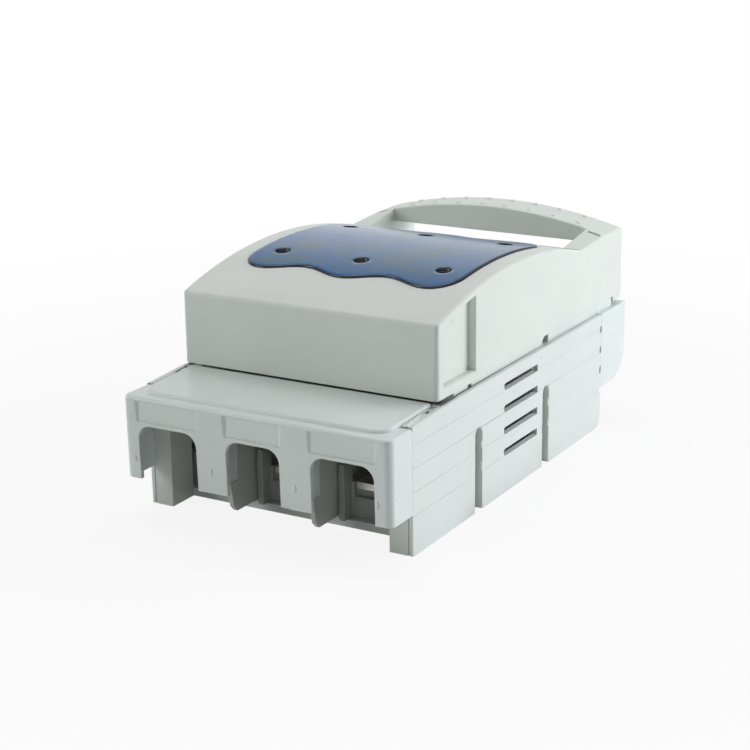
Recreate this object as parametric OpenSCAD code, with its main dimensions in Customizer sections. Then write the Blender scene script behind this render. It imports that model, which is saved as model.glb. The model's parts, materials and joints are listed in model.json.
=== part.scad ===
// Three-pole fuse switch disconnector, size 00, lying on its back.
// X runs across the poles, Y from the cable-entry end to the handle end, Z up from the mounting plane.
// The origin is the middle of the back.

/* [Base] */
// Width over the side walls
body_w = 106; // [100:1:130]
// Length of the base between the two terminal covers
base_l = 153.4; // [146:0.2:190]
// Height of the side walls above the mounting plane
side_h = 45.8; // [42:0.2:56]
// Distance between neighbouring poles
pole_pitch = 33.2; // [31:0.1:34]
// Thickness of a side wall
side_t = 2; // [1.6:0.1:2.4]
// Width of the post at the near end of each side wall
post_w = 9; // [8:0.5:11]
// Thickness of the inner walls and of the barriers between the poles
wall = 1.8; // [1.4:0.1:2.2]
// Thickness of the base floor
floor_t = 3; // [2.5:0.1:4]
// How far the cable-entry chamber reaches into the base
chamber_l = 12.5; // [10:0.5:15]
// Height of the face on which a terminal bar lies
bar_z = 13.5; // [12:0.5:16]
// Length of the vent slots in the side walls
slot_l = 27.7; // [20:0.1:34]
// Height of one vent slot
slot_h = 2.7; // [2:0.1:3.2]
// Distance between neighbouring vent slots
slot_pitch = 8.2; // [7:0.1:9]
// Width of the upright channels in the side walls
channel_w = 5.4; // [4:0.2:7]
// Depth of those channels
channel_d = 3; // [2:0.1:3.4]

/* [Terminal covers] */
// Length of the near terminal cover in front of the base
near_cover_l = 14.4; // [12:0.2:18]
// Length of the far terminal cover behind the base
far_cover_l = 23.6; // [21:0.2:30]
// Wall thickness of the covers
cover_wall = 2; // [1.6:0.1:2.4]
// How far the shoulder of the near cover lies below the top of the side walls
cover_drop = 1.4; // [1:0.1:2]
// Height of the raised panel above that shoulder
panel_rise = 1.2; // [0.8:0.1:1.4]
// Rise of the panel from its front edge to the lid
panel_slope = 1.1; // [0:0.1:1.2]
// Height of the lower edge of the cover legs
cover_leg_z = 14.5; // [12:0.5:18]
// Width of the legs at the corners of a cover
leg_w = 6.3; // [5.5:0.1:7]
// Width of an outer cable-entry arch
arch_w = 24; // [21:0.2:25]
// Width of the middle cable-entry arch
mid_arch_w = 21.2; // [18:0.2:23]
// Height of the top of an arch
arch_top_z = 34.4; // [30:0.2:36]
// Corner radius of an arch
arch_r = 5; // [3:0.5:8]
// Corner radius of the covers
cover_r = 3; // [2:0.5:4]

/* [Lid] */
// How far the lid stands in from the outside of each side wall
lid_inset = 1.8; // [1.6:0.1:2.4]
// Distance from the near end of the base to the front of the lid
lid_front_y = 20.6; // [18:0.2:24]
// Distance from the far end of the closed lid body to the far end of the base
lid_end_y = 17.1; // [15:0.1:20]
// Gap between the top of the side walls and the lid's front bottom edge
lid_gap = 1.4; // [1:0.1:2]
// Height of the lid's front face
lid_front_h = 26.1; // [22:0.1:30]
// Rise of the crown above the front edge
crown_rise = 9.1; // [7:0.1:11]
// Wall thickness of the lid
lid_wall = 1.8; // [1.6:0.1:2]
// Radius of the lid's upright front corners
lid_corner_r = 1.6; // [0.5:0.1:2]

/* [Handle] */
// Length of the handle behind the closed lid body
handle_l = 39.7; // [36:0.1:45]
// Depth of the cross bar
bar_d = 16.8; // [14:0.2:18]
// Thickness of the cross bar at its ends
bar_t = 3.2; // [2.6:0.1:5]
// Rise of the middle of the cross bar
bar_rise = 7.6; // [5:0.1:10]
// Width of a handle arm
arm_w = 8.2; // [7:0.1:9]

/* [Contacts] */
// Width of a terminal bar
bar_w = 22; // [18:0.5:23]
// Thickness of a terminal bar
bar_sheet = 2.5; // [2:0.1:3]
// Clear width of the jaw that takes a fuse blade
jaw_gap = 6; // [5.5:0.1:7]
// Distance between the middles of the two jaws of one pole
jaw_pitch = 64; // [60:0.5:70]
// Nominal diameter of a terminal screw
screw_d = 8; // [6:1:8]

/* [Mounting] */
// Distance between mounting holes across the poles
mount_x = 66; // [60:0.5:72]
// Distance between mounting holes along the poles
mount_y = 25; // [20:0.5:32]
// Diameter of a mounting hole
mount_d = 7; // [5:0.1:8]

/* [Hidden] */
$fn = 64;

// Clearances
running_gap = 0.05;
side_gap = 0.5;
sweep_gap = 0.4;
sheet_gap = 0.25;
seat_gap = 0.3;
panel_gap = 0.2;

// Lengthwise places, from the near end to the far end
total_l = near_cover_l + base_l + far_cover_l;
y_near = -total_l / 2;
y_seam = y_near + near_cover_l;
y_end = y_seam + base_l;
y_far = y_end + far_cover_l;
y_chamber = y_seam + chamber_l;
y_fuse = (y_chamber + y_end) / 2;

// Crosswise places
half_w = body_w / 2;
inner_w = half_w - side_t;
post_x = half_w - post_w;
poles = [-pole_pitch, 0, pole_pitch];
barrier_x = pole_pitch / 2;
arch_x = half_w - leg_w - arch_w / 2;

// Terminal covers
cover_h = side_h - cover_drop;
panel_top = cover_h + panel_rise;
panel_side = 4.5;
panel_front = 4.4;
panel_r = 5.5;
pad_d = 0.8;
pad_gap = 1.3;
far_cover_h = side_h + 0.2;
far_cover_r = 12;
far_leg_z = cover_leg_z + 1.5;

// Insulating decks under the lid, and the well for its front edge
deck_t = 2;
deck_z = side_h - deck_t;
well_z = panel_top - cover_wall - panel_gap;
barrier_top = well_z - deck_t;
deck_reach = 3;
jaw_room = 2;

// Slots, bands, channels and notches in the side walls
slot_rows = 4;
slot_y = y_seam + 67.3;
slot_top = side_h - 4.6;
slot_z = [for (i = [0:slot_rows - 1]) slot_top - slot_h - i * slot_pitch];
slot_rise = 0.8;
band_d = 0.12;
dent_l = 1.2;
dent_d = 1;
channel_top = slot_top - 10.4;
channel_places = [y_seam + 47.4, y_seam + 102.2];
notch_y = y_seam + 103.8;
notch_l = 4.8;
seam_w = 0.4;
seam_d = 0.6;
seam_x = inner_w + 0.2;
side_corner_r = 4;

// Reliefs in the back
relief_d = 1;
relief_r = 3;
relief_rows = 5;
relief_rib = 5;

// Lid
lid_half = half_w - lid_inset;
y_lid = y_seam + lid_front_y;
y_lid_end = y_end - lid_end_y;
lid_z = side_h + lid_gap;
lid_border = 28.4;
lid_side_z = lid_z + 0.2;
lid_mid_z = lid_side_z + 0.8;
lid_rear_z = lid_mid_z + 0.8;
lid_step_y = y_seam + 103.4;
lid_front_top = lid_z + lid_front_h;
lid_edge_r = 1;
crown_y = y_fuse - 1.95;
crown_z = lid_front_top + crown_rise;
crown_r = (pow(crown_y - y_lid, 2) + pow(crown_rise, 2)) / (2 * crown_rise);
cavity_half = lid_half - lid_wall;
cavity_end = y_lid_end - lid_wall;
function arc_z(y) = crown_z - crown_r + sqrt(pow(crown_r, 2) - pow(y - crown_y, 2));

// Recessed panel on each side of the lid, near the front
pocket_d = 2.8;
pocket_skin = 1.6;
pocket_y = y_lid + 4.1;
pocket_l = 23.7;
pocket_z = lid_z + 3.7;
pocket_top = 2.2;
pocket_x = lid_half - pocket_d - pocket_skin;
pocket_end = pocket_y + pocket_l + pocket_skin;

// Hinge at the lid's front bottom edge, on brackets inside the lid
hinge_y = y_lid + 6;
hinge_z = lid_z + 6;
pin_r = 1.7;
pin_out = 0.8;
ear_r = 3.4;
ear_t = 2;
ear_reach = 14;
ear_stem = 4.4;
ear_x = pocket_x - side_gap - ear_t;
shelf_end = hinge_y + ear_reach + 3;
rim_cut_x = min(ear_x, post_x) - 1;
well_y = y_lid + 0.2;
well_end = hinge_y + hinge_z - lid_z + sweep_gap;
latch_y = y_seam + 15;
latch_l = 6;
latch_w = 2;

// Upstand of the side walls under the edge of the lid, low below the lid's front border
upstand_t = 2;
upstand_gap = 0.35;
upstand_x = lid_half - 0.6 - upstand_t;
upstand_out = upstand_x + upstand_t;
upstand_step = y_lid + lid_border + upstand_gap;
low_top = lid_z - upstand_gap;
ridge_stop = 9;
gap_y = y_seam + 43.7;
gap_l = 2.5;
rim_groove_d = 1;

// Window
window_t = 1.4;
window_seat = 0.7;
window_corner = [10, 12];
window_edge = 15.4;
lobe_depth = 4.8;
lobe_steps = 16;
corner_steps = 8;
hole_row_y = 24.1;
window_half_l = hole_row_y + window_edge;
test_hole_d = 5;

// Tray and fuse carriers inside the lid
liner_z = lid_z + 14.8;
liner_t = 2;
liner_start = pocket_end + 2.4;
liner_gap = 0.8;
carrier_half_w = 9;
carrier_t = 2;
hook_in = 27;
hook_z = lid_z + 2.8;
hook_lip = 2.5;

// Terminals: blocks, bars, screws and the jaws that take the blades of the fuse-links
block_set_back = 2.5;
y_block = y_chamber + block_set_back;
recess_z = bar_z - 2.7;
recess_l = 1.5;
bar_set_back = 0.8;
bar_top = bar_z + bar_sheet;
guide_t = 1.1;
guide_w = 2;
guide_top = bar_top + 7.5;
guide_y = y_chamber - 2.5;
web_top = guide_top - 3.5;
jaw_l = 13;
jaw_t = 2.2;
jaw_lead = 1.6;
jaw_top = hook_z - 16;
y_jaw = y_fuse - jaw_pitch / 2;
y_block_end = y_jaw + jaw_l / 2;
y_deck_end = y_jaw - jaw_l / 2 - jaw_room;
y_screw = y_block + 11;
screw_well_z = bar_z - 9;
shank_below = 7;
washer_d = 2 * screw_d;
washer_t = 1.6;
nut_d = 1.8 * screw_d;
nut_h = 0.66 * screw_d;

// Tabs of the barriers in the terminal covers
tab_near = 4.9;
tab_far = far_cover_l - far_cover_r - 1;
tab_z = 4;
tab_top = cover_leg_z + 0.8;
tab_r = 2;

// Handle
y_handle_end = y_lid_end + handle_l;
y_bar = y_handle_end - bar_d;
arm_x = lid_half - arm_w;
arm_z = lid_rear_z + 0.5;
arm_top_near = arc_z(y_lid_end);
arm_top_far = arm_top_near + 1.2;
bar_r = (pow(lid_half, 2) + pow(bar_rise, 2)) / (2 * bar_rise);
foot_y = y_far - ridge_stop + sweep_gap;
foot_z = far_cover_h + panel_rise + sweep_gap;
lock_slot = [5.2, 1.6];
lock_place = 20;

// A box between two corners
module box(from, to) {
    translate(from) cube(to - from);
}

// An outline drawn in Y and Z, drawn out along X from x0 to x1
module along_x(x0, x1) {
    translate([x0, 0, 0]) rotate([90, 0, 90]) linear_extrude(x1 - x0) children();
}

// An outline drawn in X and Z, drawn out along Y from y0 to y1
module along_y(y0, y1) {
    translate([0, y1, 0]) rotate([90, 0, 0]) linear_extrude(y1 - y0) children();
}

// The same thing on both sides of the device
module both_sides() {
    children();
    mirror([1, 0, 0]) children();
}

// The near half copied to the far half, across the middle of the fuse-links
module far_side() {
    translate([0, 2 * y_fuse, 0]) mirror([0, 1, 0]) children();
}

// A rectangle whose corners are all round
module round_rect(from, to, r) {
    translate(from + [r, 0]) square([to.x - from.x - 2 * r, to.y - from.y]);
    translate(from + [0, r]) square([to.x - from.x, to.y - from.y - 2 * r]);
    for (x = [from.x + r, to.x - r], y = [from.y + r, to.y - r])
        translate([x, y]) circle(r);
}

// Cable-entry opening in X and Z: a doorway with round upper corners
module arch(x, w) {
    round_rect([x - w / 2, -arch_r * 2], [x + w / 2, arch_top_z], arch_r);
}

module arches() {
    arch(-arch_x, arch_w);
    arch(0, mid_arch_w);
    arch(arch_x, arch_w);
}

// The walls behind the upright channels, grown by gap, with clear pieces inside them
module channel_pockets(gap) {
    back = channel_d + wall + gap;
    across = channel_w / 2 + wall + gap;
    for (y = channel_places)
        box([half_w - back, y - across, -gap], [half_w, y + across, channel_top + wall + gap]);
}

// Shallow reliefs in the back, in rows along the poles, that leave ribs around the mounting holes
module back_reliefs() {
    row_l = (y_end - y_chamber - relief_rib) / relief_rows;
    for (x = poles, i = [0:relief_rows - 1])
        if (i != (relief_rows - 1) / 2 || x == 0)
            translate([0, 0, -1]) linear_extrude(relief_d + 1)
                round_rect([x - pole_pitch / 2 + relief_rib, y_chamber + relief_rib + i * row_l],
                    [x + pole_pitch / 2 - relief_rib, y_chamber + (i + 1) * row_l], relief_r);
}

module base_floor() {
    color("gainsboro") difference() {
        box([-inner_w, y_chamber, 0], [inner_w, y_end, floor_t]);
        back_reliefs();
        for (x = [-mount_x / 2, mount_x / 2], y = [-mount_y / 2, mount_y / 2])
            translate([x, y_fuse + y, -1]) cylinder(d = mount_d, h = floor_t + 2);
        both_sides() channel_pockets(seat_gap);
    }
}

// Outline of a side wall in Y and Z, with its far lower corner round
module side_outline() {
    difference() {
        translate([y_seam, 0]) square([base_l, side_h]);
        translate([y_end - side_corner_r, 0]) square(side_corner_r);
    }
    translate([y_end - side_corner_r, side_corner_r]) circle(side_corner_r);
}

// Hinge bracket in Y and Z: a stem behind the lid's front wall with an arm forward to the pin
module ear_outline() {
    difference() {
        union() {
            translate([hinge_y, hinge_z]) circle(ear_r);
            translate([hinge_y, hinge_z - ear_r]) square([ear_reach, 2 * ear_r]);
            translate([hinge_y + ear_reach - ear_stem, well_z]) square([ear_stem, hinge_z - well_z]);
        }
        translate([hinge_y, hinge_z]) circle(pin_r + running_gap);
    }
}

// Shelf of the right side wall that carries one end of a deck and, at the near end, the hinge bracket
module deck_shelf() {
    box([ear_x, y_chamber, well_z - deck_t], [half_w, shelf_end, side_h]);
}

// Hollow post at the near end of the right side wall
module post() {
    difference() {
        box([post_x, y_seam, 0], [half_w, y_chamber, side_h]);
        box([post_x + wall, y_seam + wall, -1], [inner_w, y_chamber + 1, deck_z - wall]);
    }
}

// Vent slots with round near ends, in shallow bands that run the whole length of the wall
module slots_and_bands() {
    for (z = slot_z) {
        box([half_w - band_d, y_seam - 1, z], [half_w + 1, y_end + 1, z + slot_h]);
        box([half_w - dent_d, y_end - dent_l, z], [half_w + 1, y_end + 1, z + slot_h]);
        along_x(post_x - 1, half_w + 1) translate([slot_y, z]) {
            translate([slot_h / 2, 0]) square([slot_l - slot_h / 2, slot_h]);
            translate([slot_h / 2, slot_h / 2]) circle(d = slot_h);
        }
    }
}

// Upright channels with round upper ends, open at the bottom
module channels() {
    for (y = channel_places)
        along_x(half_w - channel_d, half_w + 1) {
            translate([y - channel_w / 2, -1]) square([channel_w, channel_top - channel_w / 2 + 1]);
            translate([y, channel_top - channel_w / 2]) circle(d = channel_w);
        }
}

// Room for the near cover's panel and its latch and, behind it, for the front edge of the swinging lid
module lid_well() {
    panel_x = half_w - panel_side + seat_gap;
    box([rim_cut_x, y_seam - 1, well_z], [panel_x, well_y, side_h + 1]);
    box([panel_x - 1, latch_y, well_z], [panel_x + latch_w, latch_y + latch_l, side_h + 1]);
    box([rim_cut_x, well_y, well_z], [lid_half + sweep_gap, well_end, side_h + 1]);
}

// Upstand in Y and Z, with two gaps
module upstand_outline() {
    difference() {
        polygon([
            [well_end, deck_z], [y_end, deck_z], [y_end, arm_z - upstand_gap],
            [y_lid_end, arm_z - upstand_gap], [notch_y, lid_rear_z - upstand_gap],
            [notch_y, lid_mid_z - upstand_gap], [upstand_step, lid_side_z - upstand_gap],
            [upstand_step, low_top], [well_end, low_top]
        ]);
        translate([gap_y, deck_z]) square([gap_l, crown_z]);
        translate([notch_y, side_h]) square([notch_l, crown_z]);
    }
}

// Louver in the lower edge of each vent slot
module louvers() {
    for (z = slot_z)
        along_y(slot_y + slot_h / 4, slot_y + slot_l)
            polygon([[inner_w, z], [half_w - band_d, z], [inner_w, z + slot_rise]]);
}

module right_side_wall_shape() {
    difference() {
        union() {
            along_x(inner_w, half_w) side_outline();
            post();
            channel_pockets(0);
            deck_shelf();
            far_side() deck_shelf();
            box([upstand_x, y_chamber, deck_z], [half_w, y_end, side_h]);
            along_x(upstand_x, upstand_out) upstand_outline();
        }
        slots_and_bands();
        channels();
        box([seam_x, y_seam - 1, -1], [seam_x + seam_w, y_seam + seam_d, side_h + 1]);
        box([upstand_out, well_end, side_h - rim_groove_d], [inner_w, y_end + 1, side_h + 1]);
        box([upstand_x - 1, gap_y, deck_z - 1], [upstand_out, gap_y + gap_l, side_h + 1]);
        lid_well();
    }
    along_x(ear_x, ear_x + ear_t) ear_outline();
    louvers();
}

module right_side_wall() {
    color("whitesmoke") right_side_wall_shape();
}

module left_side_wall() {
    color("whitesmoke") mirror([1, 0, 0]) right_side_wall_shape();
}

// Barrier between two poles, with a tab that reaches into each terminal cover
module phase_barrier(x) {
    along_x(x - wall / 2, x + wall / 2) {
        translate([y_chamber, floor_t]) square([y_end - y_chamber, barrier_top - floor_t]);
        translate([y_seam, tab_z]) square([chamber_l + 1, barrier_top - tab_z]);
        polygon([
            [y_seam, tab_z], [y_seam - tab_near + 2 * tab_r, tab_z],
            [y_seam - tab_near + tab_r, tab_z + tab_r], [y_seam - tab_near, tab_top], [y_seam, tab_top]
        ]);
        round_rect([y_end - 2 * tab_r, far_leg_z + 1], [y_end + tab_far, barrier_top], tab_r);
    }
}

module left_phase_barrier() {
    color("silver") phase_barrier(-barrier_x);
}

module right_phase_barrier() {
    color("silver") phase_barrier(barrier_x);
}

// Insulating blocks under the three terminals of one end, each with a guide rib at both sides
module terminal_blocks() {
    inside = barrier_x - wall / 2 - sheet_gap;
    outside = barrier_x + wall / 2 + sheet_gap;
    bar_half = bar_w / 2 + seat_gap;
    spans = [[-inner_w, -outside], [-inside, inside], [outside, inner_w]];
    for (s = spans, x = [s[0] + guide_t, s[1] - guide_t - guide_w])
        along_y(guide_y, y_block + 1) {
            translate([x, floor_t]) square([guide_w, guide_top - guide_w / 2 - floor_t]);
            translate([x + guide_w / 2, guide_top - guide_w / 2]) circle(d = guide_w);
        }
    for (s = spans, x = [s[0], s[1] - guide_t])
        box([x, guide_y + 1, floor_t], [x + guide_t, y_block + 1, web_top]);
    difference() {
        for (s = spans)
            box([s[0], y_block, floor_t], [s[1], y_block_end, bar_top]);
        for (x = poles) {
            box([x - bar_half, y_block - 1, bar_z], [x + bar_half, y_block_end + 1, side_h]);
            box([x - bar_half, y_block - 1, recess_z], [x + bar_half, y_block + recess_l, bar_z + 1]);
            translate([x, y_screw, screw_well_z]) cylinder(d = screw_d + 2 * running_gap, h = side_h);
        }
    }
}

module near_terminal_block() {
    color("darkgray") difference() {
        terminal_blocks();
        both_sides() channel_pockets(seat_gap);
    }
}

module far_terminal_block() {
    color("darkgray") difference() {
        far_side() terminal_blocks();
        both_sides() channel_pockets(seat_gap);
    }
}

// Insulating deck over the rear of the terminals, under the lid
module deck_plate() {
    box([-ear_x, y_lid - deck_reach, well_z - deck_t], [ear_x, y_deck_end, well_z]);
}

module near_deck() {
    color("lightgray") deck_plate();
}

module far_deck() {
    color("lightgray") far_side() deck_plate();
}

// Plan of the near cover, drawn smaller by inset, up to y_to
module cover_plan(inset, y_to) {
    r = max(cover_r - inset, 0.4);
    x = half_w - inset;
    y = y_near + inset;
    translate([-x, y + r]) square([2 * x, y_to - y - r]);
    translate([-x + r, y]) square([2 * (x - r), 2 * r]);
    for (side = [-1, 1])
        translate([side * (x - r), y + r]) circle(r);
}

// Plan of the raised panel, which runs back under the front of the lid
module panel_plan() {
    x = half_w - panel_side;
    y = y_near + panel_front;
    translate([-x, y + panel_r]) square([2 * x, well_y - y - panel_r]);
    translate([-x + panel_r, y]) square([2 * (x - panel_r), 2 * panel_r]);
    for (side = [-1, 1])
        translate([side * (x - panel_r), y + panel_r]) circle(panel_r);
}

// Shallow sunk pad above an arch, in X and Z
module pad(x, w) {
    translate([x - w / 2, arch_top_z + pad_gap]) square([w, cover_h - arch_top_z - 2 * pad_gap]);
}

// Raised panel of the near cover, which rises gently towards the lid
module near_panel() {
    front = y_near + panel_front;
    slope = panel_slope / (y_lid - front);
    rise = slope * (well_y - front);
    intersection() {
        translate([0, 0, panel_top - cover_wall]) linear_extrude(cover_wall + rise) panel_plan();
        along_x(-half_w, half_w)
            polygon([
                [front, panel_top - cover_wall], [well_y, panel_top - cover_wall],
                [well_y, panel_top + rise], [front, panel_top]
            ]);
    }
}

module near_terminal_cover() {
    color("lightgray") difference() {
        union() {
            translate([0, 0, cover_leg_z]) linear_extrude(cover_h - cover_leg_z) cover_plan(0, y_seam);
            near_panel();
        }
        linear_extrude(cover_h - cover_wall) cover_plan(cover_wall, y_seam + 1);
        along_y(y_near - 1, y_near + cover_wall + 1) arches();
        along_y(y_near - 1, y_near + pad_d) {
            pad(-arch_x, arch_w);
            pad(0, mid_arch_w);
            pad(arch_x, arch_w);
        }
    }
    color("lightgray") for (x = [-barrier_x, barrier_x])
        box([x - wall / 2, y_near + cover_wall, tab_top + panel_gap],
            [x + wall / 2, y_seam - sheet_gap, cover_h - cover_wall]);
}

// Side outline of the far cover in Y and Z, drawn smaller by inset, with its lower far corner round
module far_cover_outline(inset, y_from, z_from) {
    y_mid = y_far - far_cover_r;
    z_mid = far_leg_z + far_cover_r;
    top = far_cover_h - inset;
    r = far_cover_r - inset;
    translate([y_from, z_from]) square([y_mid - y_from, top - z_from]);
    translate([y_from, z_mid]) square([y_far - inset - y_from, top - z_mid]);
    intersection() {
        translate([y_mid, z_mid]) circle(r);
        translate([y_mid, z_mid - r]) square(r);
    }
}

module far_terminal_cover() {
    panel_x = half_w - panel_side;
    color("lightgray") difference() {
        union() {
            along_x(-half_w, half_w) far_cover_outline(0, y_end, far_leg_z);
            translate([0, 0, far_cover_h - 1]) linear_extrude(panel_rise + 1) intersection() {
                round_rect([-panel_x, y_end - panel_r], [panel_x, y_far - panel_front], panel_r);
                translate([-half_w, y_end]) square([body_w, far_cover_l]);
            }
        }
        along_x(-half_w + cover_wall, half_w - cover_wall)
            far_cover_outline(cover_wall, y_end - 1, far_leg_z - 1);
        along_y(y_far - far_cover_r, y_far + 1) arches();
    }
    color("lightgray") both_sides()
        box([upstand_x, y_end, far_cover_h - cover_wall / 2],
            [upstand_out, y_far - ridge_stop, arm_z - upstand_gap]);
}

// One side of a jaw, in X and Z, with its mouth bent outwards
module jaw_side() {
    x = jaw_gap / 2;
    polygon([
        [x, bar_z], [x + jaw_t, bar_z], [x + jaw_t, jaw_top], [x + jaw_t + jaw_lead, jaw_top + jaw_lead],
        [x + jaw_lead, jaw_top + jaw_lead], [x, jaw_top]
    ]);
}

// Terminal bar with the jaw that takes one fuse blade
module contact(x) {
    difference() {
        box([x - bar_w / 2, y_block + bar_set_back, bar_z], [x + bar_w / 2, y_block_end, bar_top]);
        translate([x, y_screw, bar_z - 1]) cylinder(d = screw_d + 1, h = bar_sheet + 2);
    }
    translate([x, 0, 0]) along_y(y_jaw - jaw_l / 2, y_jaw + jaw_l / 2) {
        jaw_side();
        mirror([1, 0]) jaw_side();
    }
}

module near_contact(i) {
    color("silver") contact(poles[i]);
}

module far_contact(i) {
    color("silver") far_side() contact(poles[i]);
}

// Hexagon terminal screw with its washer, standing on the terminal bar
module terminal_screw(x) {
    translate([x, y_screw, bar_z - shank_below]) cylinder(d = screw_d, h = shank_below + bar_sheet);
    translate([x, y_screw, bar_top]) cylinder(d = washer_d, h = washer_t);
    translate([x, y_screw, bar_top + washer_t]) cylinder(d = nut_d, h = nut_h, $fn = 6);
}

module near_terminal_screws() {
    color("gray") for (x = poles)
        terminal_screw(x);
}

module far_terminal_screws() {
    color("gray") far_side() for (x = poles)
        terminal_screw(x);
}

// The crown's disc in Y and Z, drawn smaller by inset
module crown_disc(inset) {
    translate([crown_y, crown_z - crown_r]) circle(crown_r - inset, $fn = 360);
}

// Side outline of the closed lid body in Y and Z
module lid_outline() {
    intersection() {
        crown_disc(0);
        union() {
            polygon([
                [y_lid, lid_z + lid_edge_r], [y_lid + lid_edge_r, lid_z], [y_lid + lid_border, lid_z],
                [y_lid + lid_border, lid_side_z], [lid_step_y, lid_mid_z],
                [lid_step_y, lid_rear_z], [y_lid_end, arm_z],
                [y_lid_end, crown_z + 1], [y_lid, crown_z + 1]
            ]);
            translate([y_lid + lid_edge_r, lid_z + lid_edge_r]) circle(lid_edge_r);
        }
    }
}

// Right half of the near edge of the window: a lobe below each pole, then an elliptical corner
window_half = pole_pitch + window_corner.x;
function lobe(x) = lobe_depth / 2 * (1 - cos(360 * x / pole_pitch));
wave = [for (i = [0:lobe_steps]) let (x = i * pole_pitch / lobe_steps) [x, lobe(x)]];
corner = [for (a = [90 / corner_steps:90 / corner_steps:90])
    [pole_pitch + window_corner.x * sin(a), window_corner.y * (1 - cos(a))]];
right_edge = concat(wave, corner);
left_edge = [for (i = [len(right_edge) - 1:-1:1]) [-right_edge[i].x, right_edge[i].y]];
near_edge = concat(left_edge, right_edge);

// Plan of the window about its own middle, drawn larger by grow
module window_plan(grow) {
    sx = 1 + grow / window_half;
    near_points = [for (p = near_edge) [p.x * sx, p.y - window_half_l - grow]];
    far_points = [for (i = [len(near_edge) - 1:-1:0])
        [near_edge[i].x * sx, window_half_l + grow - near_edge[i].y]];
    polygon(concat(near_points, far_points));
}

// Cylinders through the voltage test holes
module test_holes(d) {
    for (x = poles, y = [-hole_row_y, hole_row_y])
        translate([x, y_fuse + y, side_h]) cylinder(d = d, h = crown_z);
}

// Plan of the closed lid body, with its front corners round
module lid_plan() {
    lid_l = y_lid_end - y_lid;
    translate([-lid_half, y_lid + lid_corner_r]) square([2 * lid_half, lid_l - lid_corner_r]);
    translate([-lid_half + lid_corner_r, y_lid]) square([2 * (lid_half - lid_corner_r), lid_l]);
    for (side = [-1, 1])
        translate([side * (lid_half - lid_corner_r), y_lid + lid_corner_r]) circle(lid_corner_r);
}

// Thin-walled body of the lid, open below
module lid_body() {
    difference() {
        intersection() {
            along_x(-lid_half, lid_half) lid_outline();
            linear_extrude(crown_z + 1) lid_plan();
        }
        along_x(-cavity_half, cavity_half) intersection() {
            crown_disc(lid_wall);
            translate([y_lid + lid_wall, 0]) square([cavity_end - y_lid - lid_wall, 2 * crown_z]);
        }
    }
}

// Solid front part of each side of the lid, in which the recessed panel is cut
module pocket_walls() {
    both_sides() along_x(pocket_x, lid_half - lid_wall / 2) intersection() {
        lid_outline();
        translate([y_lid + 1, pocket_z - pocket_skin]) square([pocket_end - y_lid - 1, crown_z]);
    }
}

module lid_shell() {
    color("whitesmoke") difference() {
        union() {
            lid_body();
            pocket_walls();
        }
        both_sides() along_x(lid_half - pocket_d, lid_half + 1) intersection() {
            crown_disc(pocket_top);
            translate([pocket_y, pocket_z]) square([pocket_l, crown_z]);
        }
        difference() {
            translate([0, y_fuse, side_h]) linear_extrude(crown_z) window_plan(sheet_gap);
            along_x(-half_w, half_w) crown_disc(window_seat);
        }
        test_holes(test_hole_d);
    }
}

module lid_window() {
    color("steelblue") difference() {
        intersection() {
            translate([0, y_fuse, side_h]) linear_extrude(crown_z) window_plan(0);
            along_x(-half_w, half_w) crown_disc(window_seat - window_t);
        }
        along_x(-half_w, half_w) crown_disc(window_seat);
        test_holes(test_hole_d);
    }
}

// Inner tray of the lid: a shelf with a rib between each two poles
module lid_liner() {
    shelf_half = cavity_half - liner_gap;
    rib_start = hinge_y + ear_reach;
    color("lightgray") difference() {
        union() {
            box([-shelf_half, liner_start, liner_z], [shelf_half, cavity_end, liner_z + liner_t]);
            for (x = [-barrier_x, barrier_x])
                along_x(x - wall / 2, x + wall / 2) intersection() {
                    crown_disc(lid_wall);
                    translate([rib_start, lid_z]) square([cavity_end - rib_start, crown_z]);
                }
        }
        test_holes(test_hole_d + 1);
    }
}

// One hook of a fuse carrier, in Y and Z about the middle of the fuse-link
module hook_outline() {
    polygon([
        [hook_in, liner_z], [hook_in + carrier_t, liner_z],
        [hook_in + carrier_t, hook_z], [hook_in - hook_lip, hook_z],
        [hook_in - hook_lip, hook_z + carrier_t], [hook_in, hook_z + carrier_t]
    ]);
}

// Carrier below the shelf that grips one fuse-link by its two lugs
module fuse_carrier(i) {
    x = poles[i];
    color("dimgray") difference() {
        union() {
            box([x - carrier_half_w, y_fuse - hook_in - carrier_t, liner_z - carrier_t],
                [x + carrier_half_w, y_fuse + hook_in + carrier_t, liner_z]);
            translate([0, y_fuse, 0]) along_x(x - carrier_half_w, x + carrier_half_w) {
                hook_outline();
                mirror([1, 0]) hook_outline();
            }
        }
        test_holes(test_hole_d + 1);
    }
}

module hinge_pins() {
    color("gray") both_sides()
        translate([ear_x - pin_out, hinge_y, hinge_z])
            rotate([0, 90, 0]) cylinder(r = pin_r, h = pocket_x - ear_x + pin_out);
}

// Hollow arm, open below and at both ends, with a slot for a lock in its top
module right_arm_shape() {
    slot_x = arm_x + arm_w / 2;
    slot_place = y_lid_end + lock_place;
    difference() {
        along_x(arm_x, lid_half)
            polygon([
                [y_lid_end, arm_z], [y_bar, arm_z],
                [y_bar, arm_top_far], [y_lid_end, arm_top_near]
            ]);
        along_x(arm_x + lid_wall, lid_half - lid_wall)
            polygon([
                [y_lid_end - 1, 0], [y_bar + 1, 0], [y_bar + 1, arm_top_far - lid_wall],
                [y_lid_end - 1, arm_top_near - lid_wall]
            ]);
        box([slot_x - lock_slot.x / 2, slot_place, arm_top_near - lid_wall - 2],
            [slot_x + lock_slot.x / 2, slot_place + lock_slot.y, crown_z]);
    }
}

module right_handle_arm() {
    color("whitesmoke") right_arm_shape();
}

module left_handle_arm() {
    color("whitesmoke") mirror([1, 0, 0]) right_arm_shape();
}

// The bar's arched disc in X and Z, drawn smaller by inset
module bar_disc(inset) {
    translate([0, arm_top_far + bar_rise - bar_r]) circle(bar_r - inset, $fn = 360);
}

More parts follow.
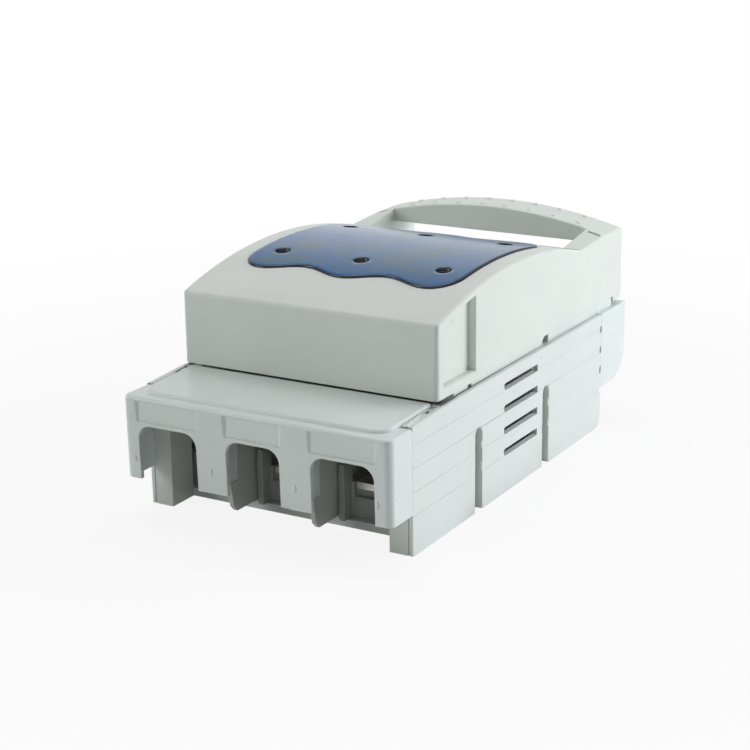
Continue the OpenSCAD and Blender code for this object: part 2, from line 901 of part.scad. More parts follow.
// Cross bar with the ends of both arms, which stand on feet over the far cover
module handle_bar() {
    bar_bottom = arm_top_far - bar_t;
    color("whitesmoke") difference() {
        along_y(y_bar, y_handle_end) intersection() {
            bar_disc(0);
            difference() {
                translate([-lid_half, foot_z]) square([2 * lid_half, crown_z]);
                translate([-arm_x, 0]) square([2 * arm_x, bar_bottom]);
            }
        }
        both_sides() box([arm_x, y_bar - 1, 0], [lid_half + 1, foot_y, arm_z]);
        along_y(y_bar + lid_wall, y_handle_end - lid_wall) intersection() {
            bar_disc(lid_wall);
            translate([-arm_x + lid_wall, 0]) square([2 * (arm_x - lid_wall), crown_z]);
        }
        both_sides() box([arm_x + lid_wall, y_bar - 1, 0],
            [lid_half - lid_wall, y_handle_end - lid_wall, arm_top_far - lid_wall]);
    }
}

base_floor();
left_side_wall();
right_side_wall();
left_phase_barrier();
right_phase_barrier();
near_terminal_block();
far_terminal_block();
near_deck();
far_deck();
near_terminal_cover();
far_terminal_cover();
near_contact(0);  // near_contact_1
near_contact(1);  // near_contact_2
near_contact(2);  // near_contact_3
far_contact(0);  // far_contact_1
far_contact(1);  // far_contact_2
far_contact(2);  // far_contact_3
near_terminal_screws();
far_terminal_screws();
lid_shell();
lid_window();
lid_liner();
hinge_pins();
fuse_carrier(0);  // fuse_carrier_1
fuse_carrier(1);  // fuse_carrier_2
fuse_carrier(2);  // fuse_carrier_3
left_handle_arm();
right_handle_arm();
handle_bar();
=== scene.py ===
import json
import math
import random

import bmesh
import bpy
from mathutils import Matrix, Vector
from mathutils.geometry import delaunay_2d_cdt


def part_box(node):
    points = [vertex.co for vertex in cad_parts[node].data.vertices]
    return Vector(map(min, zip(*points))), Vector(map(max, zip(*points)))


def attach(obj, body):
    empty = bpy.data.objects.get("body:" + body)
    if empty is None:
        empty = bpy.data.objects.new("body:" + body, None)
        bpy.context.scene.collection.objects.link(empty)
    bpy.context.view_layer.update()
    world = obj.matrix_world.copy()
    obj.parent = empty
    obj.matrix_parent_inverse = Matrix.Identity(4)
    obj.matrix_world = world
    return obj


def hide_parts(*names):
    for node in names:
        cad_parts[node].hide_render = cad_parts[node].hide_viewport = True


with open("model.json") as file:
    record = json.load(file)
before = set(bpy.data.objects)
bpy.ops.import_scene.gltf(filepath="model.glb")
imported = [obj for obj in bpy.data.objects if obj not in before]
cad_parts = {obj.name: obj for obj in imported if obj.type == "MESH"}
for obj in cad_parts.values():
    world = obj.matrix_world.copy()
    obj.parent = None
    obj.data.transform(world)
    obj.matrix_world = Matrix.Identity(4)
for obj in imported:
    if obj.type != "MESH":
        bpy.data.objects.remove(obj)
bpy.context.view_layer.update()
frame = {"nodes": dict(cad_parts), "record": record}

MM = 0.001
NODES = frame["nodes"]
BODY_OF = {n: b for b, members in frame["record"]["behaviour"]["bodies"].items() for n in members}
SLOT_OF = {p["node"]: p["material_slot"] for p in frame["record"]["subparts"]}


def corners(node):
    """Lowest and highest corners of a CAD node, in millimetres."""
    low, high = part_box(node)
    return Vector(low) / MM, Vector(high) / MM


# ---------------------------------------------------------------- materials

def node_tree(name):
    """A new material with its node tree and its shader."""
    material = bpy.data.materials.new(name)
    material.use_nodes = True
    tree = material.node_tree
    return material, tree, tree.nodes["Principled BSDF"]


def noise(tree, size, detail=3, roughness=0.5):
    """Noise in object space whose cells are about size millimetres."""
    place = tree.nodes.new("ShaderNodeTexCoord")
    node = tree.nodes.new("ShaderNodeTexNoise")
    node.inputs["Scale"].default_value = 1 / (size * MM)
    node.inputs["Detail"].default_value = detail
    node.inputs["Roughness"].default_value = roughness
    tree.links.new(place.outputs["Object"], node.inputs["Vector"])
    return node.outputs["Fac"]


def ramp(tree, value, stops):
    """Colours or grey levels against a value."""
    node = tree.nodes.new("ShaderNodeValToRGB")
    elements = node.color_ramp.elements
    while len(elements) < len(stops):
        elements.new(0.5)
    for element, (position, colour) in zip(elements, stops):
        element.position = position
        element.color = list(colour) + [1]
    tree.links.new(value, node.inputs["Fac"])
    return node.outputs["Color"]


def bumps(tree, shader, value, distance, strength=0.35):
    """Fine relief whose height is distance millimetres."""
    node = tree.nodes.new("ShaderNodeBump")
    node.inputs["Strength"].default_value = strength
    node.inputs["Distance"].default_value = distance * MM
    tree.links.new(value, node.inputs["Height"])
    tree.links.new(node.outputs["Normal"], shader.inputs["Normal"])


def varied_roughness(tree, shader, value, low, high):
    """Roughness between two levels that follows a value."""
    node = tree.nodes.new("ShaderNodeMapRange")
    node.inputs["To Min"].default_value = low
    node.inputs["To Max"].default_value = high
    tree.links.new(value, node.inputs["Value"])
    tree.links.new(node.outputs["Result"], shader.inputs["Roughness"])


def srgb(red, green, blue):
    """Screen values from 0 to 255 as linear colour."""
    return [((v / 255 + 0.055) / 1.055) ** 2.4 for v in (red, green, blue)]


def shade(colour, factor):
    return [min(1, c * factor) for c in colour]


def attribute(tree, name):
    """A level that a mesh holds at its vertices."""
    node = tree.nodes.new("ShaderNodeAttribute")
    node.attribute_name = name
    return node.outputs["Fac"]


def mixed(tree, factor, under, colour):
    """A colour laid over another one where the factor is 1."""
    node = tree.nodes.new("ShaderNodeMix")
    node.data_type = "RGBA"
    tree.links.new(factor, node.inputs["Factor"])
    tree.links.new(under, node.inputs["A"])
    node.inputs["B"].default_value = list(colour) + [1]
    return node.outputs["Result"]


def multiplied(tree, first, second):
    """Two colours multiplied."""
    node = tree.nodes.new("ShaderNodeMix")
    node.data_type = "RGBA"
    node.blend_type = "MULTIPLY"
    node.inputs["Factor"].default_value = 1
    tree.links.new(first, node.inputs["A"])
    tree.links.new(second, node.inputs["B"])
    return node.outputs["Result"]


NOISE_LOW, NOISE_HIGH = 0.3, 0.7    # most values of a noise lie between these
# Painted shade: a darker beige laid into channels, slots, seams, holes and inner faces where little light
# reaches
PAINTED_SHADE = srgb(150, 147, 128)
FLASH = srgb(244, 245, 240)
SPECK = (0.82, 0.8, 0.75)
SPECK_CORE, SPECK_EDGE = 0.12, 0.15    # values of the noise where a speck is full and where it ends
TARNISH = 0.86
WINDOW_BLUE = srgb(10, 91, 155)
WINDOW_MID = srgb(22, 92, 142)
WINDOW_GREY = srgb(56, 96, 118)
# The navy of the sheet's thick edges, and painted shade inside the test holes' sleeves
WINDOW_NAVY = srgb(12, 16, 40)
WINDOW_CLOUDS = [(0.36, WINDOW_BLUE), (0.52, WINDOW_MID), (0.66, WINDOW_GREY)]


def plastic(name, colour, roughness=0.42, mottle=0.025, grain=0.02, grain_size=0.35, specular=0.5):
    """Moulded plastic: a satin skin with a fine grain, a faint uneven tone, a few dark specks, lighter flash,
    and painted shade where a mesh marks them.
    """
    material, tree, shader = node_tree(name)
    tone = noise(tree, size=26, detail=4)
    dark, light = shade(colour, 1 - mottle), shade(colour, 1 + mottle)
    base = ramp(tree, tone, [(NOISE_LOW, dark), (NOISE_HIGH, light)])
    # Painted shade, laid over the tone where the mesh marks recesses, seams and inner faces
    base = mixed(tree, attribute(tree, "painted_shade"), base, PAINTED_SHADE)
    base = mixed(tree, attribute(tree, "flash"), base, FLASH)
    specks = ramp(tree, noise(tree, size=1.9, detail=0), [(SPECK_CORE, SPECK), (SPECK_EDGE, (1, 1, 1))])
    tree.links.new(multiplied(tree, base, specks), shader.inputs["Base Color"])
    varied_roughness(tree, shader, tone, low=roughness - 0.05, high=roughness + 0.06)
    bumps(tree, shader, noise(tree, size=grain_size), distance=grain)
    shader.inputs["Specular IOR Level"].default_value = specular
    return material


def metal(name, colour, roughness):
    """Plated metal with fine rolling marks and a faint uneven tarnish."""
    material, tree, shader = node_tree(name)
    tone = noise(tree, size=5, detail=4)
    base = ramp(tree, tone, [(NOISE_LOW, shade(colour, TARNISH)), (NOISE_HIGH, colour)])
    tree.links.new(base, shader.inputs["Base Color"])
    varied_roughness(tree, shader, tone, low=roughness - 0.06, high=roughness + 0.12)
    bumps(tree, shader, noise(tree, size=0.3), distance=0.01)
    shader.inputs["Metallic"].default_value = 1
    return material


def window_sheet(name):
    """Polished, tinted sheet: blue with cloudy grey patches, greyer round the holes, navy at its thick edges,
    and navy in the holes' sleeves as painted shade for the deep holes.
    """
    material, tree, shader = node_tree(name)
    blue = ramp(tree, noise(tree, size=15, detail=5, roughness=0.55), WINDOW_CLOUDS)
    # Greyer round the holes
    greyed_near_holes = mixed(tree, attribute(tree, "halo"), blue, WINDOW_GREY)
    # Navy on the thick edges, and painted shade inside the hole sleeves
    coloured = mixed(tree, attribute(tree, "navy_edge_and_hole_shade"), greyed_near_holes, WINDOW_NAVY)
    tree.links.new(coloured, shader.inputs["Base Color"])
    varied_roughness(tree, shader, noise(tree, size=9, detail=4), low=0.1, high=0.24)
    bumps(tree, shader, noise(tree, size=30, detail=2), distance=0.2, strength=0.1)
    return material


MATERIALS = {
    "base_plastic": plastic("base_plastic", srgb(224, 229, 227), roughness=0.45),
    "cover_plastic": plastic("cover_plastic", srgb(225, 232, 232), roughness=0.3),
    "lid_plastic": plastic("lid_plastic", srgb(224, 229, 225), roughness=0.48, grain=0.03),
    # The inner parts' own darker grey, darkened further as painted shade for the dim chamber
    "inner_plastic": plastic("inner_plastic", srgb(158, 162, 155), roughness=0.5),
    "carrier_plastic": plastic("carrier_plastic", srgb(60, 60, 60), roughness=0.5),
    "window_plastic": window_sheet("window_plastic"),
    "plated_copper": metal("plated_copper", srgb(215, 213, 206), 0.3),
    "zinc_steel": metal("zinc_steel", srgb(180, 182, 184), 0.3),
}


# ---------------------------------------------------------------- camera, floor and light

CAMERA_PLACE = Vector((0.3203, -0.5628, 0.2308))
CAMERA_AIM = Vector((-0.01075, 0.00456, 0.0303))
CAMERA_ROLL = math.radians(-0.741)
CAMERA_LENS = 86.78


def make_camera():
    data = bpy.data.cameras.new("camera")
    data.lens = CAMERA_LENS
    data.clip_end = 20
    camera = bpy.data.objects.new("camera", data)
    turn = (CAMERA_PLACE - CAMERA_AIM).to_track_quat("Z", "Y").to_matrix().to_4x4()
    camera.matrix_world = Matrix.Translation(CAMERA_PLACE) @ turn @ Matrix.Rotation(CAMERA_ROLL, 4, "Z")
    bpy.context.collection.objects.link(camera)
    bpy.context.scene.camera = camera


def seen_directly(tree):
    """1 for rays that show the background itself: camera, glossy and transmission rays."""
    path = tree.nodes.new("ShaderNodeLightPath")
    value = path.outputs["Is Camera Ray"]
    for other in ("Is Glossy Ray", "Is Transmission Ray"):
        node = tree.nodes.new("ShaderNodeMath")
        node.operation = "MAXIMUM"
        tree.links.new(value, node.inputs[0])
        tree.links.new(path.outputs[other], node.inputs[1])
        value = node.outputs[0]
    return value


FLOOR_HALF = 4    # metres
FLOOR_GAP = 0.2    # millimetres between the floor and the object's back
GLOW_START, GLOW_FULL = 0.1, 0.45    # metres from the middle, between which the floor turns fully white
GLOW_UNDER = 0.88    # share of the glow below the object


def make_floor():
    """A white sweep that shows white to the camera and still takes the object's soft shadow."""
    mesh = bpy.data.meshes.new("floor")
    half = FLOOR_HALF
    plan = [(-half, -half, 0), (half, -half, 0), (half, half, 0), (-half, half, 0)]
    mesh.from_pydata(plan, [], [(0, 1, 2, 3)])
    floor = bpy.data.objects.new("floor", mesh)
    floor.location.z = -FLOOR_GAP * MM
    bpy.context.collection.objects.link(floor)
    material, tree, shader = node_tree("floor_white")
    shader.inputs["Base Color"].default_value = (0.8, 0.8, 0.8, 1)
    shader.inputs["Roughness"].default_value = 0.9
    shader.inputs["Specular IOR Level"].default_value = 0
    glow = tree.nodes.new("ShaderNodeEmission")
    glow.inputs["Strength"].default_value = 1
    place = tree.nodes.new("ShaderNodeTexCoord")
    distance = tree.nodes.new("ShaderNodeVectorMath")
    distance.operation = "LENGTH"
    tree.links.new(place.outputs["Object"], distance.inputs[0])
    share = tree.nodes.new("ShaderNodeMapRange")
    share.interpolation_type = "SMOOTHSTEP"
    share.inputs["From Min"].default_value = GLOW_START
    share.inputs["From Max"].default_value = GLOW_FULL
    share.inputs["To Min"].default_value = GLOW_UNDER
    share.inputs["To Max"].default_value = 1
    tree.links.new(distance.outputs["Value"], share.inputs["Value"])
    factor = tree.nodes.new("ShaderNodeMath")
    factor.operation = "MULTIPLY"
    tree.links.new(seen_directly(tree), factor.inputs[0])
    tree.links.new(share.outputs["Result"], factor.inputs[1])
    mix = tree.nodes.new("ShaderNodeMixShader")
    tree.links.new(factor.outputs[0], mix.inputs["Fac"])
    tree.links.new(shader.outputs[0], mix.inputs[1])
    tree.links.new(glow.outputs[0], mix.inputs[2])
    tree.links.new(mix.outputs[0], tree.nodes["Material Output"].inputs["Surface"])
    mesh.materials.append(material)


WORLD_LIGHT = 0.03
CEILING_START, CEILING_FULL = 0.3, 0.7    # height of a direction where the white wall turns into the ceiling
CEILING_LIGHT = 0.3
LAMP_AIM = Vector((0, 0, 0.03))


def make_world():
    """White all round at the height of the object, with a dimmer ceiling that glossy faces show."""
    world = bpy.data.worlds.new("studio")
    bpy.context.scene.world = world
    world.use_nodes = True
    tree = world.node_tree
    background = tree.nodes["Background"]
    background.inputs["Color"].default_value = (1, 1, 1, 1)
    place = tree.nodes.new("ShaderNodeTexCoord")
    direction = tree.nodes.new("ShaderNodeSeparateXYZ")
    tree.links.new(place.outputs["Generated"], direction.inputs["Vector"])
    ceiling = tree.nodes.new("ShaderNodeMapRange")
    ceiling.interpolation_type = "SMOOTHSTEP"
    ceiling.inputs["From Min"].default_value = CEILING_START
    ceiling.inputs["From Max"].default_value = CEILING_FULL
    ceiling.inputs["To Min"].default_value = 1
    ceiling.inputs["To Max"].default_value = CEILING_LIGHT
    tree.links.new(direction.outputs["Z"], ceiling.inputs["Value"])
    strength = tree.nodes.new("ShaderNodeMapRange")
    strength.inputs["To Min"].default_value = WORLD_LIGHT
    tree.links.new(ceiling.outputs["Result"], strength.inputs["To Max"])
    tree.links.new(seen_directly(tree), strength.inputs["Value"])
    tree.links.new(strength.outputs["Result"], background.inputs["Strength"])


def softbox(name, place, size, power, colour=(1, 1, 1), mirrored=True):
    """A square area lamp that faces the object, and that glossy faces show only if it is mirrored."""
    data = bpy.data.lights.new(name, "AREA")
    data.shape = "SQUARE"
    data.size = size
    data.energy = power
    data.color = colour
    lamp = bpy.data.objects.new(name, data)
    lamp.location = place
    lamp.rotation_euler = (Vector(place) - LAMP_AIM).to_track_quat("Z", "Y").to_euler()
    lamp.visible_glossy = mirrored
    bpy.context.collection.objects.link(lamp)


make_camera()
make_floor()
make_world()
softbox("right_softbox", (1.0, 0.7, 0.4), size=0.8, power=14.1, colour=(0.96, 0.99, 1), mirrored=False)
softbox("top_softbox", (-0.2, 0.3, 1.3), size=0.9, power=8.2)
softbox("left_softbox", (-0.9, -0.9, 0.6), size=0.8, power=6.8, colour=(0.96, 1, 0.93))
softbox("front_softbox", (0.8, -1.1, 0.4), size=0.8, power=0.8, colour=(0.97, 1, 0.98))


# ---------------------------------------------------------------- pieces made from the frame

LARGEST_RADIUS = 1.2
FINE_RADIUS = 0.2
SHARP = math.radians(30)
FLAT = math.radians(0.5)
UPRIGHT = 0.35    # the normal of an upright face rises less than this
WELD, CUT_SNAP = 1e-6, 1e-7    # metres
TOLERANCE = 0.02    # millimetres that a place may be from the one that it is compared with
MARGIN = 0.1    # millimetres by which a searched region is wider than the feature in it

# Places on the lid and the handle, in millimetres
LID_LOW, LID_HIGH = corners("lid_shell")
ARM_LOW, ARM_HIGH = corners("right_handle_arm")
BAR_LOW, BAR_HIGH = corners("handle_bar")
BAR_RISE = 7.6    # of the bar's arched top above its shoulders
BAR_SHOULDER = BAR_HIGH.z - BAR_RISE
BAR_DISC = (LID_HIGH.x ** 2 + BAR_RISE ** 2) / (2 * BAR_RISE)
ARM_RISE = 1.2    # of an arm's sloping top towards the bar
ARM_TOLERANCE = 0.05
LOCK_X = (44.5, 49.7)    # the slots for a lock
LOCK_Y = (75, 76.6)
LOCK_FLOOR = 71
LID_EDGE = 1
CORNER_ROUND = 1.7
HANDLE_EDGE_R, LID_EDGE_R = 0.7, 1.1


def near(value, *targets):
    return any(abs(value - target) < TOLERANCE for target in targets)


def within(value, low, high):
    """Whether a place lies between two others or just outside them."""
    return low - MARGIN < value < high + MARGIN


def bridge(bm, first, second):
    """Faces between two closed loops of vertices."""
    for i in range(len(first)):
        bm.faces.new((first[i - 1], first[i], second[i], second[i - 1]))


def bridge_all(bm, loops):
    """Faces between each two neighbours in a row of closed loops."""
    for first, second in zip(loops, loops[1:]):
        bridge(bm, first, second)


def ellipse(bm, centre, along, across, size, sides):
    """A closed loop of vertices whose half axes are size times along and across, in millimetres."""
    angles = (math.tau * k / sides for k in range(sides))
    return [bm.verts.new((centre + (along * math.cos(t) + across * math.sin(t)) * size) * MM) for t in angles]


def marked(loops, layer):
    """Set a layer to 1 at every vertex of some loops."""
    for loop in loops:
        for vert in loop:
            vert[layer] = 1


def as_mesh(name, bm):
    mesh = bpy.data.meshes.new(name)
    bm.to_mesh(mesh)
    bm.free()
    return mesh


def as_piece(name, mesh, *nodes):
    """A new object that stands for CAD nodes, on their body and with their finish."""
    thing = bpy.data.objects.new(name, mesh)
    bpy.context.collection.objects.link(thing)
    mesh.materials.clear()
    mesh.materials.append(MATERIALS[SLOT_OF[nodes[0]]])
    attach(thing, BODY_OF[nodes[0]])
    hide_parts(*nodes)
    return thing


def cleaned(bm):
    """Weld a mesh and merge its flat faces, without the faces that are left inside where two solids met."""
    bmesh.ops.remove_doubles(bm, verts=bm.verts, dist=WELD)
    bmesh.ops.dissolve_limit(bm, angle_limit=FLAT, verts=bm.verts, edges=bm.edges)
    inner = [f for f in bm.faces if all(len(e.link_faces) > 2 for e in f.edges)]
    if inner:
        bmesh.ops.delete(bm, geom=inner, context="FACES_ONLY")
        bmesh.ops.dissolve_limit(bm, angle_limit=FLAT, verts=bm.verts, edges=bm.edges)


def cut(bm, place, direction):
    """New vertices and edges where a plane crosses the mesh, in millimetres."""
    geometry = bm.verts[:] + bm.edges[:] + bm.faces[:]
    bmesh.ops.bisect_plane(bm, geom=geometry, dist=CUT_SNAP, plane_co=Vector(place) * MM, plane_no=direction)


def prism(x0, x1, outline):
    """The mesh of a prism between two places along X, with its outline in Y and Z, in millimetres."""
    bm = bmesh.new()
    ends = [[bm.verts.new(Vector((x, y, z)) * MM) for y, z in outline] for x in (x0, x1)]
    for end in ends:
        bm.faces.new(end)
    bridge(bm, *ends)
    bmesh.ops.recalc_face_normals(bm, faces=bm.faces)
    return as_mesh("prism", bm)


def bar_heights():
    """Places across the bar's arched top and their heights, in millimetres."""
    edge = {}
    for vert in NODES["handle_bar"].data.vertices:
        x, y, z = vert.co / MM
        on_top = abs(x) < ARM_LOW.x - MARGIN or near(abs(x), LID_HIGH.x) or z > BAR_SHOULDER + MARGIN
        if near(y, BAR_LOW.y) and z > BAR_SHOULDER - TOLERANCE and on_top:
            edge[round(x, 4)] = z
    return sorted(edge.items())


def height_on(edge, x, slack=1e-3):
    """Height of an edge at x, between the points that it is given by."""
    for (x0, z0), (x1, z1) in zip(edge, edge[1:]):
        if x0 - slack <= x <= x1 + slack:
            return z0 + (z1 - z0) * (x - x0) / (x1 - x0)
    return edge[-1][1]


def blend_arm(node, bm):
    """Raise the top of an arm gradually to the bar's arched surface, so that no step is left there."""
    if not node.endswith("handle_arm"):
        return
    edge = bar_heights()
    arm_places = [x for x, _ in edge if abs(x) > ARM_LOW.x]
    lock_places = [side * x for side in (-1, 1) for x in LOCK_X]
    for x in arm_places + lock_places:
        cut(bm, (x, 0, 0), (1, 0, 0))
    for y in LOCK_Y:
        cut(bm, (0, y, 0), (0, 1, 0))
    low = ARM_HIGH.z - ARM_RISE
    for vert in bm.verts:
        x, y, z = vert.co / MM
        share = (y - LID_HIGH.y) / (BAR_LOW.y - LID_HIGH.y)
        if abs(z - low - ARM_RISE * share) < ARM_TOLERANCE:
            vert.co.z += share * (height_on(edge, x) - edge[-1][1]) * MM


def united(nodes, prepare=None, fills=()):
    """A bmesh of CAD nodes and prisms joined into one solid."""
    meshes = []
    for node in nodes:
        bm = bmesh.new()
        bm.from_mesh(NODES[node].data)
        cleaned(bm)
        if prepare:
            prepare(node, bm)
        meshes.append(as_mesh("part", bm))
    meshes += [prism(*fill) for fill in fills]
    parts = [bpy.data.objects.new("part", mesh) for mesh in meshes]
    bm = bmesh.new()
    if len(parts) == 1:
        bm.from_mesh(parts[0].data)
    else:
        group = bpy.data.collections.new("parts")
        for part in parts[1:]:
            group.objects.link(part)
        bpy.context.collection.objects.link(parts[0])
        union = parts[0].modifiers.new("union", "BOOLEAN")
        union.operation = "UNION"
        union.operand_type = "COLLECTION"
        union.collection = group
        union.solver = "MANIFOLD"
        graph = bpy.context.evaluated_depsgraph_get()
        graph.update()
        bm.from_mesh(parts[0].evaluated_get(graph).to_mesh())
        cleaned(bm)
        bpy.data.collections.remove(group)
    for part in parts:
        bpy.data.objects.remove(part)
    return bm


def rounded(name, nodes, radius=None, segments=3, prepare=None, fills=(), change=None, trim=None):
    """CAD nodes as one moulding with round edges.

    radius(edge, middle) gives an edge's radius, 0 for none or None for the fine one. prepare(node, bm)
    changes a node before the nodes are joined, change(bm) changes the joined mesh, and trim(bm) adds small
    details without bevels.
    """
    bm = united(nodes, prepare, fills)
    # One layer for painted shade, one for flash
    for layer in ("painted_shade", "flash"):
        bm.verts.layers.float.new(layer)
    if change:
        change(bm)
    weight = bm.edges.layers.float.new("bevel_weight_edge")
    for edge in bm.edges:
        if len(edge.link_faces) != 2 or edge.calc_face_angle() < SHARP:
            continue
        middle = (edge.verts[0].co + edge.verts[1].co) / 2 / MM
        size = radius(edge, middle) if radius else None
        edge[weight] = (FINE_RADIUS if size is None else size) / LARGEST_RADIUS
        edge.smooth = size != 0
    if trim:
        trim(bm)
        bmesh.ops.recalc_face_normals(bm, faces=bm.faces)
    for face in bm.faces:
        face.smooth = True
    thing = as_piece(name, as_mesh(name, bm), *nodes)
    bevel = thing.modifiers.new("edges", "BEVEL")
    bevel.limit_method = "WEIGHT"
    bevel.width = LARGEST_RADIUS * MM
    bevel.segments = segments
    bevel.use_clamp_overlap = False
    normals = thing.modifiers.new("normals", "WEIGHTED_NORMAL")
    normals.keep_sharp = True
    return thing


def is_top_edge(edge):
    """Whether an outward edge lies between an upright face and one that looks up."""
    up = sorted(face.normal.z for face in edge.link_faces)
    return edge.is_convex and abs(up[0]) < UPRIGHT < up[1]


def lid_radius(edge, middle):
    if not is_top_edge(edge):
        return None
    on_arm = near(abs(middle.x), ARM_LOW.x) and middle.y > LID_HIGH.y
    if on_arm or near(middle.y, LID_HIGH.y, BAR_LOW.y):
        return HANDLE_EDGE_R
    on_side = near(abs(middle.x), LID_HIGH.x)
    on_end = near(middle.y, LID_LOW.y, BAR_HIGH.y)
    on_corner = abs(middle.x) > LID_HIGH.x - CORNER_ROUND and middle.y < LID_LOW.y + CORNER_ROUND
    return LID_EDGE_R if on_side or on_end or on_corner else None


# Grip bumps on the bar: two rows of low domes
GRIP_PITCH = 10.6
GRIP_ROWS = [(3.8, 0.9), (13.9, -0.9)]    # from the near edge of the bar, and the row's own shift along X
GRIP_COUNT = 8
GRIP_RADIUS = 1.25
GRIP_RISE = 0.55
BAR_LOWERING = 0.55    # at the middle, so that the domes stay inside the CAD model's box


def lowered(z):
    """Height of a point on the bar's top, pressed down a little towards the middle."""
    return z - BAR_LOWERING * max(0, z - BAR_SHOULDER) / (BAR_HIGH.z - BAR_SHOULDER)


DOME_FOOT = 0.3    # share of a dome's rise by which its foot goes below the surface


def add_dome(bm, centre, along, across, rise, rings=5, sides=20):
    """A low closed dome with two half axes, whose foot lies just below the surface it sits on."""
    up = along.cross(across).normalized()
    levels = [(1, -DOME_FOOT * rise)]
    for i in range(rings):
        angle = math.pi / 2 * i / rings
        levels.append((math.cos(angle), rise * math.sin(angle)))
    loops = [ellipse(bm, centre + up * height, along, across, size, sides) for size, height in levels]
    top = bm.verts.new((centre + up * rise) * MM)
    bm.faces.new(loops[0])
    for low, high in zip(loops, loops[1:]):
        for k in range(sides):
            bm.faces.new((low[k], high[k], high[k - 1], low[k - 1]))
    for k in range(sides):
        bm.faces.new((loops[-1][k - 1], loops[-1][k], top))


DICE = random.Random(5)
BEAD_THINNEST = 0.3    # share of a bead's radius that is left where it is thinnest


def add_bead(bm, layer, start, end, radius, step=0.5, sides=6):
    """An uneven closed bead of flash or painted shade along a line, at most radius thick."""
    start, end = Vector(start), Vector(end)
    amount = bm.verts.layers.float[layer]
    side = (end - start).orthogonal().normalized()
    up = (end - start).normalized().cross(side)
    count = max(2, round((end - start).length / step))
    loops = []
    for i in range(count + 1):
        size = radius * DICE.uniform(BEAD_THINNEST, 1)
        loops.append(ellipse(bm, start.lerp(end, i / count), side, up, size, sides))
    marked(loops, amount)
    bm.faces.new(loops[0])
    bm.faces.new(loops[-1])
    bridge_all(bm, loops)


def shape_lid(bm):
    """Lower the bar's top, square the lid's lower front edge and paint shade onto the floors of the lock
    slots.
    """
    painted_shade = bm.verts.layers.float["painted_shade"]
    for vert in bm.verts:
        _, y, z = vert.co / MM
        if y > BAR_LOW.y - TOLERANCE and z > BAR_SHOULDER:
            vert.co.z = lowered(z) * MM
        if y < LID_LOW.y + LID_EDGE + TOLERANCE and z < LID_LOW.z + LID_EDGE + TOLERANCE:
            vert.co.z = LID_LOW.z * MM
        # Painted shade on the floors of the lock slots
        if within(y, *LOCK_Y) and near(z, LOCK_FLOOR):
            vert[painted_shade] = 1


def add_grip(bm):
    across = Vector((0, GRIP_RADIUS, 0))
    for place, shift in GRIP_ROWS:
        for i in range(GRIP_COUNT):
            x = (i - (GRIP_COUNT - 1) / 2) * GRIP_PITCH + shift
            up = Vector((x, 0, BAR_DISC)).normalized()
            z = BAR_HIGH.z - BAR_DISC + math.sqrt(BAR_DISC ** 2 - x ** 2)
            centre = Vector((x, BAR_LOW.y + place, lowered(z)))
            add_dome(bm, centre, across.cross(up), across, GRIP_RISE)


LID_NODES = ["lid_shell", "left_handle_arm", "right_handle_arm", "handle_bar"]
rounded("lid_moulding", LID_NODES, lid_radius, segments=4, prepare=blend_arm, change=shape_lid,
        trim=add_grip)

# Near cover: soft sides on the sunk pads, round rims on the cover and its panel
COVER_LOW = corners("near_terminal_cover")[0]
COVER_TOP = 44.4
PANEL_STEP = 0.5    # the panel's top lies more than this above the cover's
COVER_R, PANEL_R = 1, 0.95
PAD_FRONT_R, PAD_FLOOR_R, PAD_END_R = 0.4, 0.3, 0.05
PAD_TOP, PAD_BOTTOM = 43.1, 35.7
PAD_DEPTH = 0.8
PAD_SLANT, PAD_FOOT_SLANT = 1.1, 0.5    # sideways run of a pad's upright sides at its top and foot
PAD_FOOT_RISE = 0.3    # the pad's floor comes nearer to the front towards its foot
PAD_EXTRA = 0.4    # and lies deeper towards its head
PAD_SIDES = [(34.7, 12), (0, 10.6)]    # middle and half width of the pads, on the right half
LEG_TOP = 34.9
LEG_CORNER = 3
LEG_LEAN = 0.03
LEG_MARKS = (-48.9, -17, 16.3, 47.7)
LEG_MARK_Z = 22
LEG_MARK_HALF, LEG_MARK_RISE = (0.8, 1.5), 0.36
LEG_FEET = (-17, 17)
LEG_FOOT = 11
FOOT_FLASH_IN, FOOT_FLASH_R = 0.25, 0.3


def pad_side(x, y, z):
    """+1 or -1 on the upright sides of a pad, in the cover's front face or the pad's floor, otherwise 0."""
    if not (y < COVER_LOW.y + PAD_DEPTH + PAD_EXTRA + TOLERANCE and within(z, PAD_BOTTOM, PAD_TOP)):
        return 0
    for middle, half in PAD_SIDES:
        for centre in (middle, -middle):
            for side in (1, -1):
                reach = TOLERANCE + PAD_SLANT * (side * (x - centre) > half)
                if abs(x - centre - side * half) < reach:
                    return side
    return 0


def shape_cover(bm):
    """Slant the sides of the pads, and let the legs lean back a little towards their feet."""
    for vert in bm.verts:
        x, y, z = vert.co / MM
        side = pad_side(x, y, z)
        if side and near(y, COVER_LOW.y):
            vert.co.x += side * (PAD_FOOT_SLANT if near(z, PAD_BOTTOM) else PAD_SLANT) * MM
        elif side:
            vert.co.y += (-PAD_FOOT_RISE if near(z, PAD_BOTTOM) else PAD_EXTRA) * MM
    cut(bm, (0, 0, LEG_TOP), (0, 0, 1))
    for vert in bm.verts:
        depth, drop = vert.co.y / MM - COVER_LOW.y, LEG_TOP - vert.co.z / MM
        if drop > 0 and depth < LEG_CORNER:
            vert.co.y += LEG_LEAN * drop * (1 - depth / LEG_CORNER) * MM


